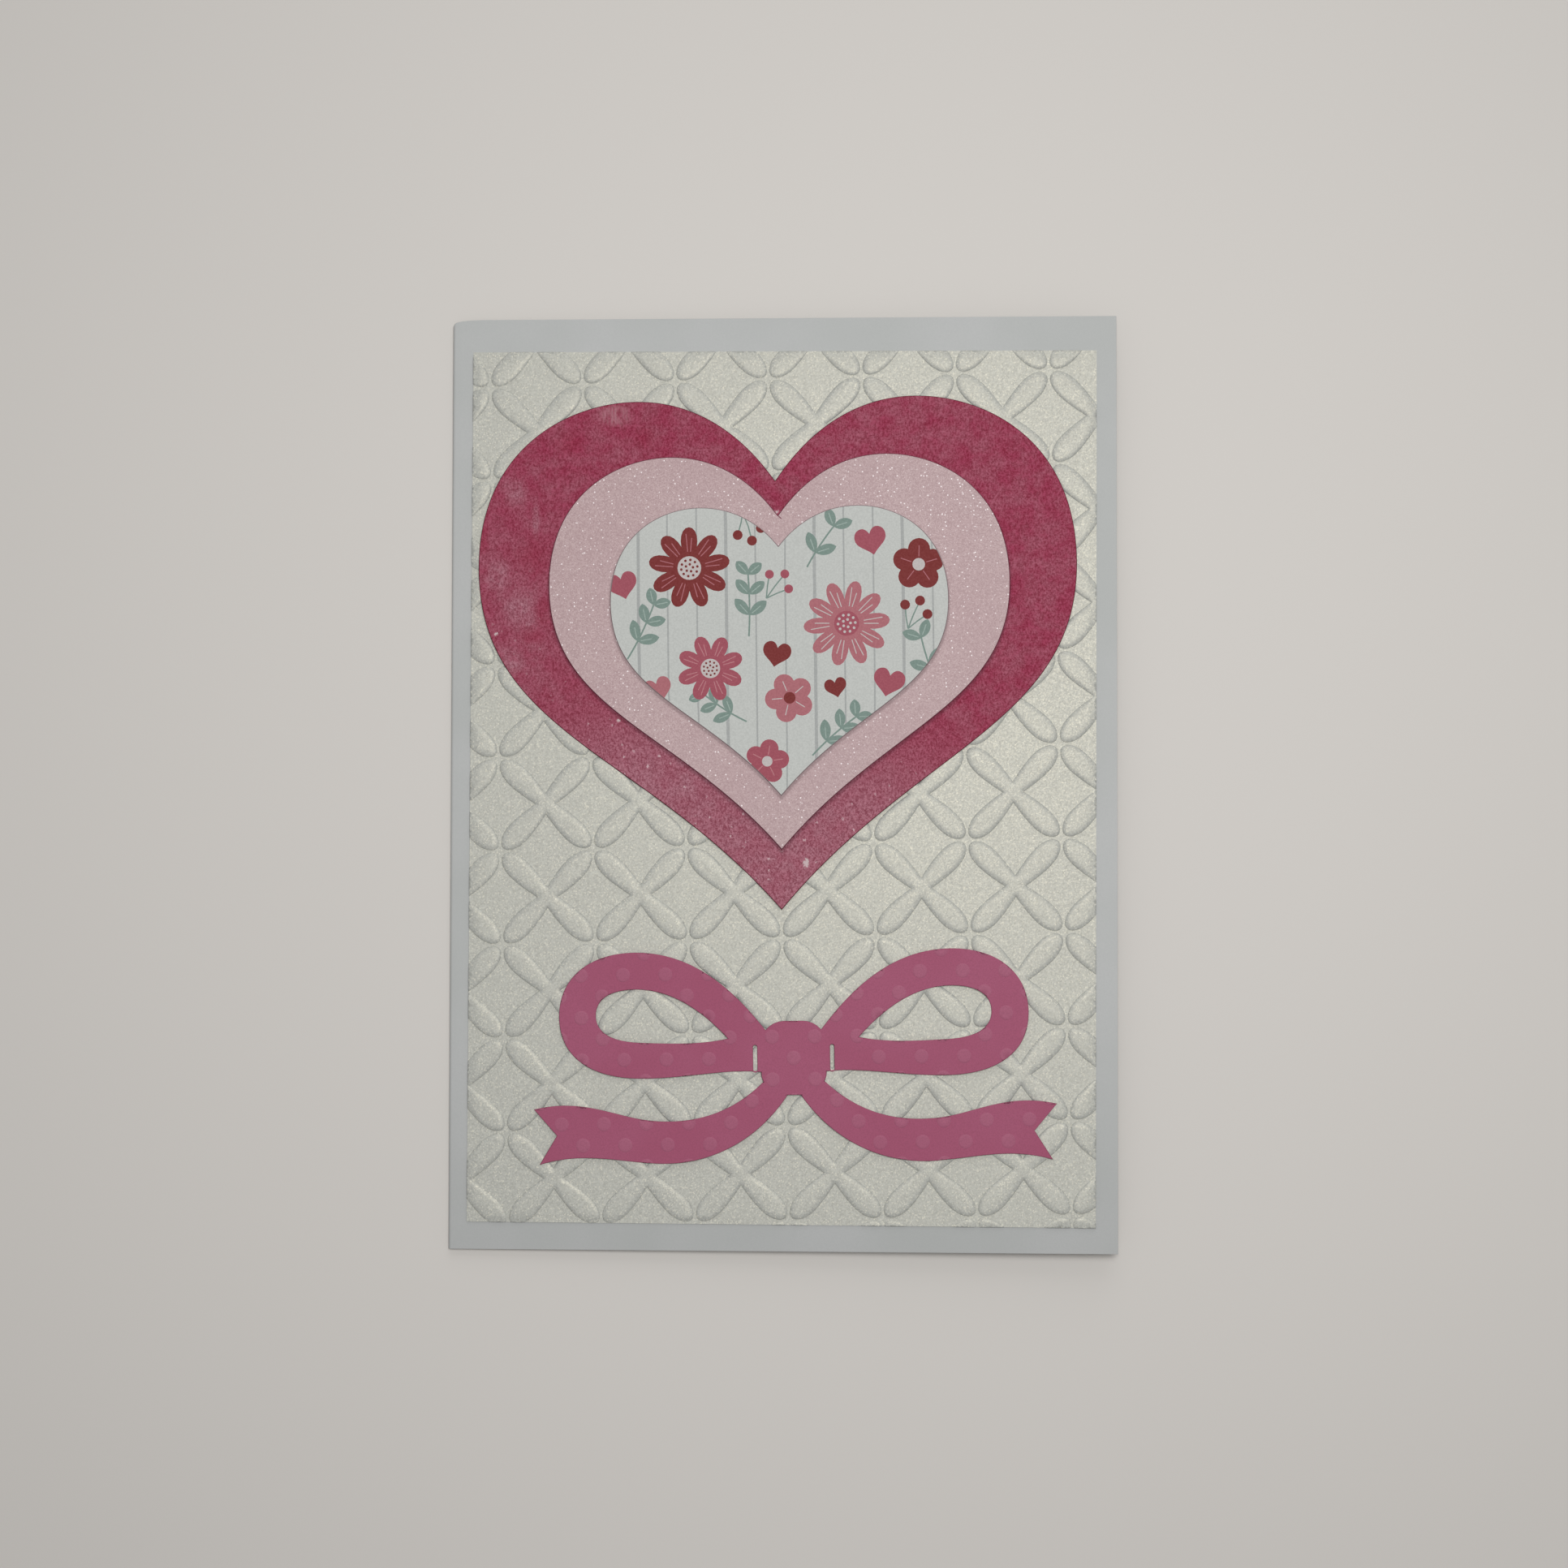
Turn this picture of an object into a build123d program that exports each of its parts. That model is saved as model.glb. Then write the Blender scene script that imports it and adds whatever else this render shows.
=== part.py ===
from build123d import *
import os
from math import cos, radians, sin, sqrt

# A handmade folded greeting card that lies closed on its back leaf, front up.
# The fold is on the left (-X), the top of the card is towards +Y, and Z = 0 is
# the surface that the card lies on. All lengths are in millimetres.

# Card stock, folded once
CARD_WIDTH = 127.0
CARD_HEIGHT = 177.8
CARD_PAPER = 0.35
FOLD_INNER_RADIUS = 0.25
SPRING_ANGLE = 1.5

# Embossed panel, cut a little askew and glued to the front leaf
PANEL_WIDTH = 119.2
PANEL_HEIGHT = 166.2
PANEL_CENTRE = (-0.1, -0.7)
PANEL_TURN = -0.15
PANEL_PAPER = 0.3
RELIEF = 0.5
RELIEF_DRAFT = 35.0

# Lattice of raised four-petal flowers, pressed a little off the panel's edges
LATTICE_PITCH = 17.8
LATTICE_TURN = 1.5
LATTICE_CENTRE = (-0.7, -2.95)
FLOWER_COLUMNS = 8
FLOWER_ROWS = 11
PETAL_LENGTH = 11.75
PETAL_WIDTH = 4.4
PETAL_WIDEST_AT = 7.6
PETAL_FORK_AT = 2.05
PETAL_END_FACETS = 7

# Three nested die-cut hearts, each glued on a little askew
OUTER_HEART = {"half_width": 57.0, "height": 97.4, "cleft": 15.7, "tip": (0.0, -24.2), "turn": 1.0}
MIDDLE_HEART = {"half_width": 43.9, "height": 75.1, "cleft": 11.5, "tip": (0.0, -12.8), "turn": 0.8}
INNER_HEART = {"half_width": 32.2, "height": 55.1, "cleft": 7.6, "tip": (-0.1, -2.6), "turn": 0.8}
OUTER_HEART_PAPER = 0.3
MIDDLE_HEART_PAPER = 0.4
INNER_HEART_PAPER = 0.2

# Their common outline: where a lobe is highest, in half widths, and widest, in
# heights, and how far the curve holds its direction there, in half widths
LOBE_TOP_AT = 0.466
WIDEST_AT = 0.673
CLEFT_HOLD = (0.02, 0.022)
LOBE_HOLD_INWARD = 0.298
LOBE_HOLD_OUTWARD = 0.23
SIDE_HOLD_UP = 0.409
SIDE_HOLD_DOWN = 0.545
TIP_HOLD = (0.454, 0.534)

# Die-cut ribbon bow: knot, loops and tails
BOW_CENTRE = (2.3, -52.2)
BOW_TURN = 1.0
BOW_PAPER = 0.3
BOW_HALF_WIDTH = 49.5
LOOP_TOP = 20.3
LOOP_REACH = 44.5
RIBBON = 7.0
TAIL_DROP = -19.7
KNOT_WIDTH = 12.5
KNOT_HEIGHT = 14.0
KNOT_CORNER = 4.5
KNOT_SLIT_AT = 7.3
KNOT_SLIT_LENGTH = 5.0
KNOT_SLIT_WIDTH = 0.8

FOLD_OUTER_RADIUS = FOLD_INNER_RADIUS + CARD_PAPER
FOLD_CENTRE_X = FOLD_OUTER_RADIUS - CARD_WIDTH / 2


def front_leaf_plane():
    """The front leaf's upper face: origin in its middle, Z out of the card."""
    tilt = radians(SPRING_ANGLE)
    along = Vector(cos(tilt), 0, sin(tilt))
    out = Vector(-sin(tilt), 0, cos(tilt))
    bend_centre = Vector(FOLD_CENTRE_X, 0, FOLD_OUTER_RADIUS)
    middle = bend_centre + out * FOLD_OUTER_RADIUS + along * (CARD_WIDTH / 2 - FOLD_OUTER_RADIUS)
    return Plane(origin=middle, x_dir=along, z_dir=out)


def placed(plane, centre, turn):
    """The plane moved to centre and turned by turn degrees, both measured in it."""
    return plane * Location((centre[0], centre[1], 0), (0, 0, turn))


def heart_outline(half_width, height, cleft):
    """Half of a heart, from the cleft round the lobe to the tip at the origin."""
    w, h = half_width, height
    notch = Vector(0, h - cleft)
    lobe_top = Vector(LOBE_TOP_AT * w, h)
    widest = Vector(w, WIDEST_AT * h)
    tip = Vector(0, 0)
    leave_notch = notch + Vector(*CLEFT_HOLD) * w
    reach_top = lobe_top - Vector(LOBE_HOLD_INWARD * w, 0)
    leave_top = lobe_top + Vector(LOBE_HOLD_OUTWARD * w, 0)
    reach_side = widest + Vector(0, SIDE_HOLD_UP * w)
    leave_side = widest - Vector(0, SIDE_HOLD_DOWN * w)
    reach_tip = tip + Vector(*TIP_HOLD) * w
    Bezier(notch, leave_notch, reach_top, lobe_top)
    Bezier(lobe_top, leave_top, reach_side, widest)
    Bezier(widest, leave_side, reach_tip, tip)


def heart(plane, form, thickness):
    """A flat die-cut heart of the given form, lying on the plane."""
    with BuildPart() as piece:
        with BuildSketch(placed(plane, form["tip"], form["turn"])):
            with BuildLine():
                heart_outline(form["half_width"], form["height"], form["cleft"])
                mirror(about=Plane.YZ)
            make_face()
        extrude(amount=thickness)
    return piece


FRONT = front_leaf_plane()
PANEL_TOP = FRONT.offset(PANEL_PAPER + RELIEF)
OUTER_TOP = PANEL_TOP.offset(OUTER_HEART_PAPER)
MIDDLE_TOP = OUTER_TOP.offset(MIDDLE_HEART_PAPER)

# Card base: one sheet, drawn as its outer face in section and thickened inwards
with BuildPart() as card_base:
    with BuildSketch(Plane.XZ):
        with BuildLine():
            back = Line((CARD_WIDTH / 2, 0), (FOLD_CENTRE_X, 0))
            bend = JernArc(back @ 1, back % 1, FOLD_OUTER_RADIUS, SPRING_ANGLE - 180)
            PolarLine(bend @ 1, CARD_WIDTH - FOLD_OUTER_RADIUS, SPRING_ANGLE)
            offset(amount=CARD_PAPER, side=Side.RIGHT)
        make_face()
    extrude(amount=CARD_HEIGHT / 2, both=True)
card_base.part.label = "card_base"


def petal_points():
    """One petal along +X from the middle of its flower: fork, flank, rounded end."""
    fork = PETAL_FORK_AT / sqrt(2)
    end_length = PETAL_LENGTH - PETAL_WIDEST_AT
    end_angles = [radians(-90 + 180 * i / PETAL_END_FACETS) for i in range(PETAL_END_FACETS + 1)]
    end = [(PETAL_WIDEST_AT + end_length * cos(a), PETAL_WIDTH / 2 * sin(a)) for a in end_angles]
    return [(0, 0), (fork, -fork)] + end + [(fork, fork)]


# One raised flower: four petals joined in the middle, with sloping flanks
with BuildPart(mode=Mode.PRIVATE) as flower:
    with BuildSketch():
        with PolarLocations(0, 4, start_angle=45):
            Polygon(*petal_points(), align=None)
    extrude(amount=RELIEF)
    draft(flower.faces().filter_by(Axis.Z, reverse=True), Plane.XY, RELIEF_DRAFT)

# Embossed panel: the sheet, and the flowers that run off its cut edges
with BuildPart() as embossed_panel:
    with BuildSketch(placed(FRONT, PANEL_CENTRE, PANEL_TURN)) as sheet:
        Rectangle(PANEL_WIDTH, PANEL_HEIGHT)
    extrude(amount=PANEL_PAPER)
    with Locations(placed(FRONT.offset(PANEL_PAPER), LATTICE_CENTRE, LATTICE_TURN)):
        with GridLocations(LATTICE_PITCH, LATTICE_PITCH, FLOWER_COLUMNS, FLOWER_ROWS):
            add(flower.part)
    extrude(sheet.sketch, amount=PANEL_PAPER + RELIEF, mode=Mode.INTERSECT)
embossed_panel.part.label = "embossed_panel"

outer_heart = heart(PANEL_TOP, OUTER_HEART, OUTER_HEART_PAPER)
outer_heart.part.label = "outer_heart"
middle_heart = heart(OUTER_TOP, MIDDLE_HEART, MIDDLE_HEART_PAPER)
middle_heart.part.label = "middle_heart"
inner_heart = heart(MIDDLE_TOP, INNER_HEART, INNER_HEART_PAPER)
inner_heart.part.label = "inner_heart"


def bow_loop():
    """The right loop's outer edge, from the knot over the top and back."""
    over = Bezier((4.0, 3.6), (10.5, 12.5), (18.5, LOOP_TOP), (30.0, LOOP_TOP))
    end = Bezier(over @ 1, (38.5, LOOP_TOP), (LOOP_REACH, 15.8), (LOOP_REACH, 8.2))
    under = Bezier(end @ 1, (LOOP_REACH, 0.2), (38.0, -3.6), (28.5, -3.6))
    back = Bezier(under @ 1, (19.0, -3.6), (11.0, -1.4), (4.0, -3.0))
    Line(back @ 1, over @ 0)


def bow_loop_opening():
    """The opening of the right loop, one ribbon width inside its outer edge."""
    top, reach, bottom = LOOP_TOP - RIBBON, LOOP_REACH - RIBBON, RIBBON - 3.6
    over = Bezier((12.4, 3.8), (17.8, 9.7), (23.5, top), (30.0, top))
    end = Bezier(over @ 1, (34.6, top), (reach, 11.6), (reach, 8.4))
    under = Bezier(end @ 1, (reach, 5.0), (34.2, bottom), (29.0, bottom - 0.2))
    Bezier(under @ 1, (23.0, 2.9), (17.5, 2.7), over @ 0)


def bow_tail():
    """The right tail: it falls from the knot, swings out and ends in a notch."""
    upper = Bezier((3.5, -2.0), (10.5, -10.2), (18.5, -12.4), (27.0, -11.6))
    upper_end = Bezier(upper @ 1, (34.0, -10.9), (40.0, -7.0), (BOW_HALF_WIDTH, -9.2))
    notch = Polyline(upper_end @ 1, (45.2, -14.2), (48.6, TAIL_DROP))
    lower_end = Bezier(notch @ 1, (40.5, -17.2), (33.5, -19.3), (26.0, TAIL_DROP))
    lower = Bezier(lower_end @ 1, (15.0, -20.2), (5.5, -14.5), (0, -5.0))
    Line(lower @ 1, upper @ 0)


# Bow: the right half is drawn and mirrored, then the knot goes over the middle
with BuildPart() as bow_diecut:
    with BuildSketch(placed(PANEL_TOP, BOW_CENTRE, BOW_TURN)):
        with BuildLine():
            bow_loop()
        make_face()
        with BuildLine():
            bow_loop_opening()
        make_face(mode=Mode.SUBTRACT)
        with BuildLine():
            bow_tail()
        make_face()
        mirror(about=Plane.YZ)
        RectangleRounded(KNOT_WIDTH, KNOT_HEIGHT, KNOT_CORNER)
        with Locations((KNOT_SLIT_AT, 0), (-KNOT_SLIT_AT, 0)):
            SlotOverall(KNOT_SLIT_LENGTH, KNOT_SLIT_WIDTH, rotation=90, mode=Mode.SUBTRACT)
    extrude(amount=BOW_PAPER)
bow_diecut.part.label = "bow_diecut"

os.makedirs("parts", exist_ok=True)
for piece in (card_base, embossed_panel, outer_heart, middle_heart, inner_heart, bow_diecut):
    export_step(piece.part, f"parts/{piece.part.label}.step")
    print(piece.part.label, "volume", round(piece.part.volume, 1), "mm3")
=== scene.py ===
import random
from math import ceil, cos, pi, radians, sin, sqrt

import bmesh
import bpy
import numpy as np
from mathutils import Matrix, Vector
from mathutils.geometry import delaunay_2d_cdt

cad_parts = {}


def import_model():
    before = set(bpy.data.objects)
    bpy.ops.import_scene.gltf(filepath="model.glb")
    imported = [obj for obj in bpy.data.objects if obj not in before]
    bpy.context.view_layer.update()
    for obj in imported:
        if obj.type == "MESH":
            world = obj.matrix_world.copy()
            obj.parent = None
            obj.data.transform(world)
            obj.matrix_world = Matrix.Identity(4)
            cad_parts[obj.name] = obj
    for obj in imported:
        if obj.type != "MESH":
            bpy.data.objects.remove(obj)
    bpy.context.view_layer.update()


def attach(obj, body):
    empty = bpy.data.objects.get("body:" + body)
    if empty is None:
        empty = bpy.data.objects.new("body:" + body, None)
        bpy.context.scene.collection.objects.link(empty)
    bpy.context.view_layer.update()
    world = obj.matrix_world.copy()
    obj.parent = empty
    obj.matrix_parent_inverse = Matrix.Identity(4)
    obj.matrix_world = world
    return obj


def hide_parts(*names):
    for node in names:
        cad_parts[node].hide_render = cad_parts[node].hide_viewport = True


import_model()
scene = bpy.context.scene

# All lengths below are in millimetres. A place on the card's front is measured from
# the middle of the front leaf: x to the free edge, y to the top, z out of the leaf.
MM = 0.001

# The quarters round a middle, counterclockwise
QUARTERS = ((1, 1), (-1, 1), (-1, -1), (1, -1))

# Card stock, folded once, as in the solid model
CARD_WIDTH = 127.0
CARD_HEIGHT = 177.8
CARD_PAPER = 0.35
FOLD_OUTER_RADIUS = 0.6
SPRING_ANGLE = 1.5
TILT = radians(SPRING_ANGLE)

# The worn corner at the top of the fold
CORNER_RADIUS = 1.1
CORNER_LEAN = 0.45
CORNER_REACH = 6.0

# Points of the folded sheet: by shares of a leaf, round the bend, and in rows down from the top
LEAF_SHARES = (1.0, 0.999, 0.8, 0.5, 0.2, 0.08, 0.04, 0.022, 0.01)
BEND_POINTS = 15
CARD_ROWS = (0, 0.3, 0.8, 1.6, 3.2, CORNER_REACH, 60, 120, CARD_HEIGHT)

# Embossed panel
PANEL_WIDTH = 119.2
PANEL_HEIGHT = 166.2
PANEL_CENTRE = (-0.1, -0.7)
PANEL_TURN = -0.15
PANEL_PAPER = 0.3
RELIEF = 0.5
RIM_RELIEF = 0.5
RIM_REACH = 1.5
PANEL_CORNERS = [(PANEL_WIDTH / 2 * x, PANEL_HEIGHT / 2 * y) for x, y in QUARTERS]
LATTICE_PITCH = 17.8
LATTICE_TURN = 1.5
LATTICE_CENTRE = (-0.7, -2.95)
FLOWER_COLUMNS = 8
FLOWER_ROWS = 11
PETAL_LENGTH = 11.75
PETAL_WIDTH = 4.4
PETAL_WIDEST_AT = 7.6
PETAL_FORK_AT = 2.05
PETAL_SPREAD = 0.4

# A petal's flank rises from its foot like a quarter of an ellipse, then its crown swells a little
FLANK = 1.15
CROWN_SHARE = 0.06
RELIEF_RINGS = (0.0, 0.06, 0.16, 0.32, 0.55, 0.85, 1.2)
HIDDEN_RINGS = (0.0, 0.32, 1.2)
CROWN_STEP = 0.9
CELL_SIDE_STEPS = 8
ROUND_CELL = 0.75

# A ring that is moved inwards gets an arc where it turns in by more than this many radians
ARC_FROM = 0.6
ARC_STEP = 0.35
INSET_SLACK = 0.012

# Hearts, nested, and the shares that shape their common outline
OUTER_HEART = {"half_width": 57.0, "height": 97.4, "cleft": 15.7, "tip": (0.0, -24.2), "turn": 1.0}
MIDDLE_HEART = {"half_width": 43.9, "height": 75.1, "cleft": 11.5, "tip": (0.0, -12.8), "turn": 0.8}
INNER_HEART = {"half_width": 32.2, "height": 55.1, "cleft": 7.6, "tip": (-0.1, -2.6), "turn": 0.8}
OUTER_HEART_PAPER = 0.3
MIDDLE_HEART_PAPER = 0.4
INNER_HEART_PAPER = 0.2
LOBE_TOP_AT = 0.466
WIDEST_AT = 0.673
CLEFT_HOLD = (0.02, 0.022)
LOBE_HOLD_INWARD = 0.298
LOBE_HOLD_OUTWARD = 0.23
SIDE_HOLD_UP = 0.409
SIDE_HOLD_DOWN = 0.545
TIP_HOLD = (0.454, 0.534)

# Bow
BOW_CENTRE = (2.3, -52.2)
BOW_TURN = 1.0
BOW_PAPER = 0.3
BOW_HALF_WIDTH = 49.5
LOOP_TOP = 20.3
LOOP_REACH = 44.5
RIBBON = 7.0
TAIL_DROP = -19.7
KNOT_WIDTH = 12.5
KNOT_HEIGHT = 14.0
KNOT_CORNER = 4.5
KNOT_SLIT_AT = 7.3
KNOT_SLIT_LENGTH = 5.0
KNOT_SLIT_WIDTH = 0.8
DOT_PITCH = 8.05
DOT_RADIUS = 1.38
DOT_HEIGHT = 0.09
DOT_ROWS = 7

# A raised dot in section: the share of its radius, and the share of its height there
DOT_SECTION = ((1.0, 0.0), (0.94, 0.55), (0.84, 0.9), (0.6, 1.0))

# Heights of the faces that the sheets lie on, above the front leaf
PANEL_TOP = PANEL_PAPER + RELIEF
OUTER_TOP = PANEL_TOP + OUTER_HEART_PAPER
MIDDLE_TOP = OUTER_TOP + MIDDLE_HEART_PAPER

# Finish of the cut edges: the folded sheet's, which are its edges of more than 60 degrees, and the
# die-cut sheets'. The limit keeps their sharp corners from being drawn far inwards.
EDGE_ROUNDING = 0.09
EDGES_FROM = 60.0
SMOOTH_UP_TO = 35.0
CUT_ROUNDING = 0.14
CORNER_LIMIT = 0.7
CURVE_STEP = 0.8

# The soft shade that a sheet casts on the one below it: which way it falls, how wide it fades, and
# how far from the sheet there is a row of points, less those that lie nearer at an inward corner
SHADE_DROP = (0.0, -0.45)
SHADE_REACH = 0.5
SHADE_STEPS = (0.02, 0.2, 0.4, 0.6, 0.8, 1.0)
STEP_KEPT = 0.97

# Glitter: the spacing of its grains, how far each strays as a share of that, and their height
GLITTER_GRAIN = 0.27
GLITTER_STRAY = 0.4
GLITTER_LIFT = 0.012

# Where the crust of glitter stops: under the printed heart, and short of the cut edge
GLITTER_UNDER_PRINT = 1.0
GLITTER_TO_EDGE = 0.3
FLAT_AT_EDGE = 0.2
FLAT_BESIDE_PRINT = 0.25


# Flat shapes

def bezier(start, hold_a, hold_b, end, steps=None):
    """Points along a cubic curve, without its last point."""
    if steps is None:
        run = sum((Vector(b) - Vector(a)).length for a, b in
                  ((start, hold_a), (hold_a, hold_b), (hold_b, end)))
        steps = max(6, ceil(run / CURVE_STEP))
    t = (np.arange(steps) / steps)[:, None]
    p = [np.array(q, float) for q in (start, hold_a, hold_b, end)]
    return (1 - t) ** 3 * p[0] + 3 * (1 - t) ** 2 * t * p[1] + 3 * (1 - t) * t ** 2 * p[2] + t ** 3 * p[3]


def mirrored(points):
    """The same points on the other side of the y axis, in the opposite order."""
    return points[::-1] * (-1, 1)


def placed(points, centre, turn):
    """Points turned by turn degrees about the origin and moved to centre."""
    a = radians(turn)
    rotation = np.array(((cos(a), sin(a)), (-sin(a), cos(a))))
    return np.asarray(points, float) @ rotation + centre


def four_times(points, start=0):
    """The same points at each of four quarter turns about the origin."""
    return np.concatenate([placed(points, (0, 0), start + 90 * i) for i in range(4)])


def circle(centre, radius, count):
    """A closed ring of count points."""
    a = np.arange(count) * 2 * pi / count
    return np.stack((centre[0] + radius * np.cos(a), centre[1] + radius * np.sin(a)), 1)


def heart_outline(form, steps=None):
    """A heart with its tip at the origin, as one closed ring."""
    w, h = form["half_width"], form["height"]
    notch = (0, h - form["cleft"])
    leave_notch = (CLEFT_HOLD[0] * w, notch[1] + CLEFT_HOLD[1] * w)
    lobe_top = (LOBE_TOP_AT * w, h)
    widest = (w, WIDEST_AT * h)
    half = np.concatenate((
        bezier(notch, leave_notch, (lobe_top[0] - LOBE_HOLD_INWARD * w, h), lobe_top, steps),
        bezier(lobe_top, (lobe_top[0] + LOBE_HOLD_OUTWARD * w, h),
               (w, widest[1] + SIDE_HOLD_UP * w), widest, steps),
        bezier(widest, (w, widest[1] - SIDE_HOLD_DOWN * w),
               (TIP_HOLD[0] * w, TIP_HOLD[1] * w), (0, 0), steps),
    ))
    return np.concatenate((half, [(0, 0)], mirrored(half[1:])))


def heart_ring(form):
    """The outline of a heart where it lies on the card."""
    return placed(heart_outline(form), form["tip"], form["turn"])


def within(points, starts, ends):
    """Which of the points lie inside the closed loops that the edges make."""
    x, y = points[:, 0][:, None], points[:, 1][:, None]
    ax, ay = starts.T
    bx, by = ends.T
    crosses = (ay > y) != (by > y)
    rise = np.where(by == ay, 1, by - ay)
    return np.count_nonzero(crosses & (x < ax + (y - ay) * (bx - ax) / rise), axis=1) % 2 == 1


def inside(points, ring):
    """Which of the points lie inside a closed ring."""
    return within(points, ring, np.roll(ring, -1, axis=0))


def distance_to_ring(points, ring):
    """The distance of each point from a closed ring of short straight steps."""
    along = np.roll(ring, -1, axis=0) - ring
    least = np.full(len(points), np.inf)
    for start, step, square in zip(ring, along, (along ** 2).sum(1)):
        offset = points - start
        t = np.clip(offset @ step / max(square, 1e-12), 0, 1)[:, None]
        least = np.minimum(least, ((offset - t * step) ** 2).sum(1))
    return np.sqrt(least)


def facing_up(flat, faces):
    """The triangles turned the same way round, without those that have no area."""
    one, other = (flat[faces[:, i]] - flat[faces[:, 0]] for i in (1, 2))
    area = one[:, 0] * other[:, 1] - one[:, 1] * other[:, 0]
    faces[area < 0] = faces[area < 0][:, ::-1]
    return faces[abs(area) > 1e-9]


def triangulate(rings, loose=()):
    """Triangles over the closed rings, which stay as edges, and the loose points."""
    points = [Vector(p) for ring in rings for p in ring] + [Vector(p) for p in loose]
    edges, first = [], 0
    for ring in rings:
        edges += [(first + i, first + (i + 1) % len(ring)) for i in range(len(ring))]
        first += len(ring)
    found = delaunay_2d_cdt(points, edges, [], 0, 1e-5, False)
    flat = np.array([tuple(p) for p in found[0]])
    return flat, facing_up(flat, np.array([tuple(f) for f in found[2]]))


def fill(points, edges):
    """Triangles inside closed loops of edges, with no points but theirs."""
    found = delaunay_2d_cdt([Vector(p) for p in points], edges.tolist(), [], 0, 1e-6, True)
    source = np.array([origin[0] for origin in found[3]])
    faces = facing_up(points, source[np.array([tuple(f) for f in found[2]])])
    return faces[within(centres(points, faces), points[edges[:, 0]], points[edges[:, 1]])]


def centres(flat, faces):
    """The middle of each triangle."""
    return flat[faces].mean(axis=1)


def beside(ring, distances):
    """Points outside a ring that runs clockwise, at each of the distances from it."""
    along = np.roll(ring, -1, axis=0) - np.roll(ring, 1, axis=0)
    out = along[:, ::-1] * (-1, 1) / np.linalg.norm(along, axis=1)[:, None]
    rows = [(ring + out * d, d) for d in distances]
    return np.concatenate([row[distance_to_ring(row, ring) > d * STEP_KEPT] for row, d in rows])


def shade_from(cover, points):
    """How deep each point lies in the soft shade of a sheet with the outline cover, from 0 to 1."""
    fallen = cover + SHADE_DROP
    away = np.where(inside(points, fallen), 0, distance_to_ring(points, fallen))
    return np.clip(1 - away / SHADE_REACH, 0, 1)


def used_only(flat, faces):
    """The same triangles with the unused points dropped."""
    keep, numbered = np.unique(faces, return_inverse=True)
    return flat[keep], numbered.reshape(faces.shape)


def sheet(ring, others=(), loose=()):
    """Triangles inside a ring, with the other rings as edges, and the loose points."""
    flat, faces = triangulate([ring, *others], loose)
    return used_only(flat, faces[inside(centres(flat, faces), ring)])


# Meshes

def leaf_matrix():
    """From millimetres on the front leaf to the part's own frame in metres."""
    along = Vector((cos(TILT), 0, sin(TILT)))
    out = Vector((-sin(TILT), 0, cos(TILT)))
    bend_centre = Vector((FOLD_OUTER_RADIUS - CARD_WIDTH / 2, 0, FOLD_OUTER_RADIUS))
    origin = bend_centre + out * FOLD_OUTER_RADIUS + along * (CARD_WIDTH / 2 - FOLD_OUTER_RADIUS)
    turn = Matrix((along, (0, 1, 0), out)).transposed().to_4x4()
    return Matrix.Translation(origin * MM) @ turn @ Matrix.Scale(MM, 4)


LEAF = leaf_matrix()


def boundary(faces):
    """The directed edges that only one triangle uses, their points, and the edges in terms of those."""
    sides = np.concatenate((faces[:, (0, 1)], faces[:, (1, 2)], faces[:, (2, 0)]))
    taken = set(map(tuple, sides.tolist()))
    rim = np.array([s for s in sides.tolist() if (s[1], s[0]) not in taken])
    on_rim, numbered = np.unique(rim, return_inverse=True)
    return rim, on_rim, numbered.reshape(rim.shape)


def new_object(name, data):
    """A new object in the scene."""
    made = bpy.data.objects.new(name, data)
    scene.collection.objects.link(made)
    return made


def add_piece(name, slot, node, materials, points, faces, smooth, paint, shade=None):
    """Puts a mesh, given on the front leaf in millimetres, in place of a CAD node."""
    mesh = bpy.data.meshes.new(name)
    mesh.from_pydata([tuple(p) for p in points], [], [tuple(f) for f in faces])
    if shade is not None:
        depths = np.append(shade, np.zeros(len(points) - len(shade)))
        mesh.attributes.new("shade", "FLOAT", "POINT").data.foreach_set("value", depths)
    for material in materials:
        mesh.materials.append(material)
    mesh.polygons.foreach_set("material_index", np.asarray(paint, np.int32))
    mesh.polygons.foreach_set("use_smooth", np.asarray(smooth, bool))
    mesh.transform(LEAF)
    mesh.validate()
    mesh.update()
    piece = new_object(name, mesh)
    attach(piece, "root")
    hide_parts(node)


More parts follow.
